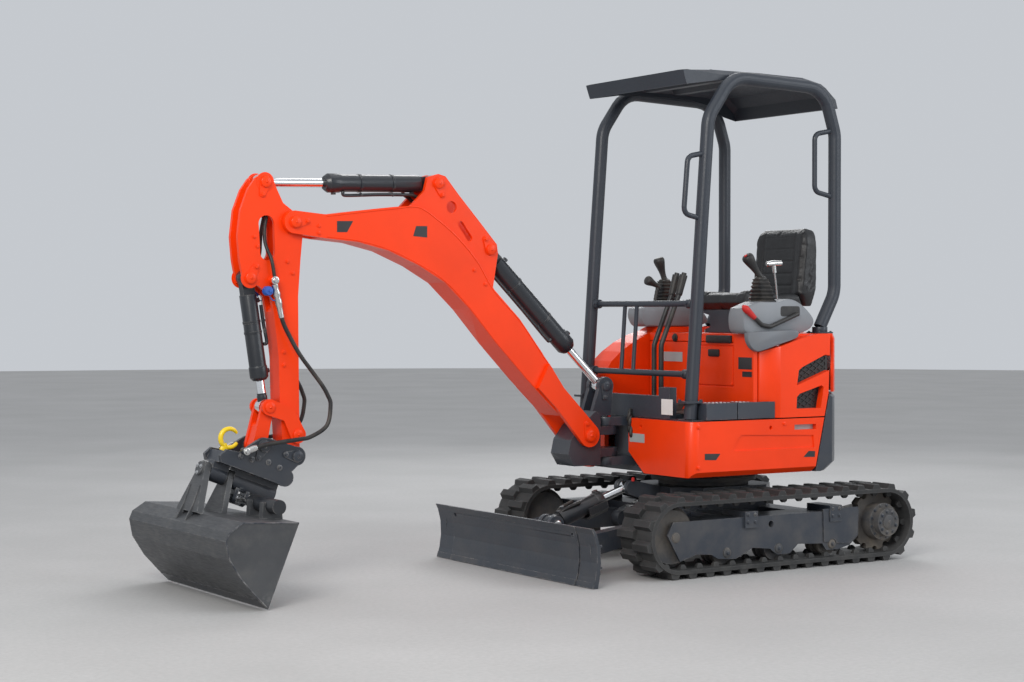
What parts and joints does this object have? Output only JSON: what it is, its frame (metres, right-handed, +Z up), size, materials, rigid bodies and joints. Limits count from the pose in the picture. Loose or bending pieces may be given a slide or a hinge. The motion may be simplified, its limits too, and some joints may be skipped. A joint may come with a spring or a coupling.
{
  "type": "mini excavator",
  "caption": "Tracked mini excavator with open canopy, dozer blade, swinging boom, arm, quick hitch and a wide tilting ditching bucket.",
  "frame": {"origin": "on the ground under the slew axis", "axes": "+X forward over the blade, +Y to the machine's left, +Z up"},
  "size_m": [3.4755, 1.29, 2.3276],
  "materials": {
    "paint_orange": "gloss",
    "paint_dark": "semi-gloss",
    "rubber": "matte",
    "cast_iron": "satin",
    "chrome": "polished",
    "steel": "satin",
    "vinyl": "satin",
    "plastic_grey": "matte",
    "plastic_black": "matte",
    "paint_yellow": "gloss"
  },
  "bodies": {
    "undercarriage": {"car_body": "paint_dark", "slew_ring": "steel", "track_frames": "paint_dark", "track_left": "rubber", "track_right": "rubber", "sprockets": "cast_iron", "idlers": "cast_iron", "rollers": "cast_iron"},
    "blade": {"blade_plate": "paint_dark", "blade_arms": "paint_dark"},
    "blade_barrel": {"blade_cyl_barrel": "paint_dark"},
    "blade_rod": {"blade_cyl_rod": "chrome"},
    "house": {"deck_frame": "paint_dark", "floor_plate": "paint_dark", "skirt_left": "paint_orange", "skirt_right": "paint_orange", "counterweight": "cast_iron", "hood_pin": "steel", "quarter_left": "paint_orange", "grilles": "plastic_black", "tank_cover": "paint_orange", "seat_base": "paint_orange", "engine_block": "cast_iron", "hoop_left": "paint_dark", "hoop_right": "paint_dark", "canopy_roof": "paint_dark", "lifting_eye": "paint_dark", "front_gate": "paint_dark", "seat_mount": "plastic_black", "seat_cushion": "vinyl", "seat_back": "vinyl", "console_left": "plastic_grey", "console_right": "plastic_grey", "joysticks": "plastic_black", "lock_lever": "plastic_black", "travel_levers": "plastic_black"},
    "hood": {"engine_hood": "paint_orange"},
    "swing": {"swing_bracket": "paint_dark"},
    "boom": {"boom": "paint_orange"},
    "boom_barrel": {"boom_cyl_barrel": "paint_dark"},
    "boom_rod": {"boom_cyl_rod": "chrome"},
    "arm_barrel": {"arm_cyl_barrel": "paint_dark"},
    "arm_rod": {"arm_cyl_rod": "chrome"},
    "arm": {"arm": "paint_orange", "hose_left": "rubber", "hose_right": "rubber"},
    "bucket_barrel": {"bucket_cyl_barrel": "paint_dark"},
    "bucket_rod": {"bucket_cyl_rod": "chrome"},
    "idler": {"idler_links": "paint_orange"},
    "link": {"bucket_link": "paint_orange"},
    "coupler": {"coupler": "paint_dark", "tilt_lugs": "paint_dark", "lifting_hook": "paint_yellow"},
    "bucket": {"bucket": "paint_dark", "tilt_cyl_barrel": "paint_dark"},
    "tilt_rod": {"tilt_cyl_rod": "chrome"}
  },
  "joints": [
    {"name": "slew", "type": "hinge", "parent": "undercarriage", "child": "house", "pos_m": [0, 0, 0.39], "axis": [0, 0, 1], "continuous": true},
    {"name": "boom_swing", "type": "hinge", "parent": "house", "child": "swing", "pos_m": [0.532, -0.07, 0.58], "axis": [0, 0, 1], "range_deg": [-58, 65]},
    {"name": "boom_lift", "type": "hinge", "parent": "swing", "child": "boom", "pos_m": [0.68, -0.07, 0.6], "axis": [0, -1, 0], "range_deg": [-70, 38]},
    {"name": "boom_barrel_pivot", "type": "hinge", "parent": "boom", "child": "boom_barrel", "pos_m": [1.19703, -0.07, 1.44483], "axis": [0, -1, 0], "range_deg": [-4, 4]},
    {"name": "boom_rod_stroke", "type": "slide", "parent": "boom_barrel", "child": "boom_rod", "axis": [-0.7167, 0, -0.6974], "range_m": [-0.16, 0.29]},
    {"name": "arm_pivot", "type": "hinge", "parent": "boom", "child": "arm", "pos_m": [2.17, -0.07, 1.54317], "axis": [0, 1, 0], "range_deg": [-60, 40]},
    {"name": "arm_barrel_pivot", "type": "hinge", "parent": "boom", "child": "arm_barrel", "pos_m": [1.46598, -0.07, 1.73016], "axis": [0, 1, 0], "range_deg": [-7, 6]},
    {"name": "arm_rod_stroke", "type": "slide", "parent": "arm_barrel", "child": "arm_rod", "axis": [0.9996, 0, -0.0266], "range_m": [-0.192, 0.128]},
    {"name": "bucket_curl", "type": "hinge", "parent": "arm", "child": "coupler", "pos_m": [2.16902, -0.07, 0.56517], "axis": [0, -1, 0], "range_deg": [-130, 10], "deforming": ["hose_left", "hose_right"]},
    {"name": "idler_pivot", "type": "hinge", "parent": "arm", "child": "idler", "pos_m": [2.152, -0.07, 0.65221], "axis": [0, -1, 0], "range_deg": [-110, 12]},
    {"name": "link_pivot", "type": "hinge", "parent": "coupler", "child": "link", "pos_m": [2.31991, -0.07, 0.61218], "axis": [0, -1, 0], "range_deg": [-5, 64]},
    {"name": "bucket_barrel_pivot", "type": "hinge", "parent": "arm", "child": "bucket_barrel", "pos_m": [2.36296, -0.07, 1.30816], "axis": [0, -1, 0], "range_deg": [-2, 7]},
    {"name": "bucket_rod_stroke", "type": "slide", "parent": "bucket_barrel", "child": "bucket_rod", "axis": [-0.1491, 0, -0.9888], "range_m": [-0.026, 0.3]},
    {"name": "bucket_tilt", "type": "hinge", "parent": "coupler", "child": "bucket", "pos_m": [2.55176, -0.07, 0.5202], "axis": [-0.9336, 0, -0.3584], "range_deg": [-40, 40]},
    {"name": "tilt_rod_stroke", "type": "slide", "parent": "bucket", "child": "tilt_rod", "axis": [0, 1, 0], "range_m": [-0.048, 0.048]},
    {"name": "blade_lift", "type": "hinge", "parent": "undercarriage", "child": "blade", "pos_m": [0.33, 0, 0.18], "axis": [0, -1, 0], "range_deg": [-14, 20]},
    {"name": "blade_barrel_pivot", "type": "hinge", "parent": "blade", "child": "blade_barrel", "pos_m": [0.88, 0, 0.205], "axis": [0, -1, 0], "range_deg": [-4, 5]},
    {"name": "blade_rod_stroke", "type": "slide", "parent": "blade_barrel", "child": "blade_rod", "axis": [-0.9464, 0, 0.3229], "range_m": [-0.07, 0.05]},
    {"name": "hood_hinge", "type": "hinge", "parent": "house", "child": "hood", "pos_m": [-0.39017, -0.46499, 0.93], "axis": [0, 0, 1], "range_deg": [0, 80]}
  ],
  "couplings": [
    {"joint": "boom_barrel_pivot", "follows": "boom_lift", "ratio": -0.0118},
    {"joint": "boom_rod_stroke", "follows": "boom_lift", "m_per_rad": -0.2357},
    {"joint": "arm_barrel_pivot", "follows": "arm_pivot", "ratio": 0.0881},
    {"joint": "arm_rod_stroke", "follows": "arm_pivot", "m_per_rad": 0.1801},
    {"joint": "idler_pivot", "follows": "bucket_curl", "ratio": 0.79},
    {"joint": "link_pivot", "follows": "bucket_curl", "ratio": -0.481},
    {"joint": "bucket_barrel_pivot", "follows": "bucket_curl", "ratio": -0.0376},
    {"joint": "bucket_rod_stroke", "follows": "bucket_curl", "m_per_rad": -0.1304},
    {"joint": "tilt_rod_stroke", "follows": "bucket_tilt", "m_per_rad": 0.0646},
    {"joint": "blade_barrel_pivot", "follows": "blade_lift", "ratio": 0.1897},
    {"joint": "blade_rod_stroke", "follows": "blade_lift", "m_per_rad": -0.1924}
  ]
}
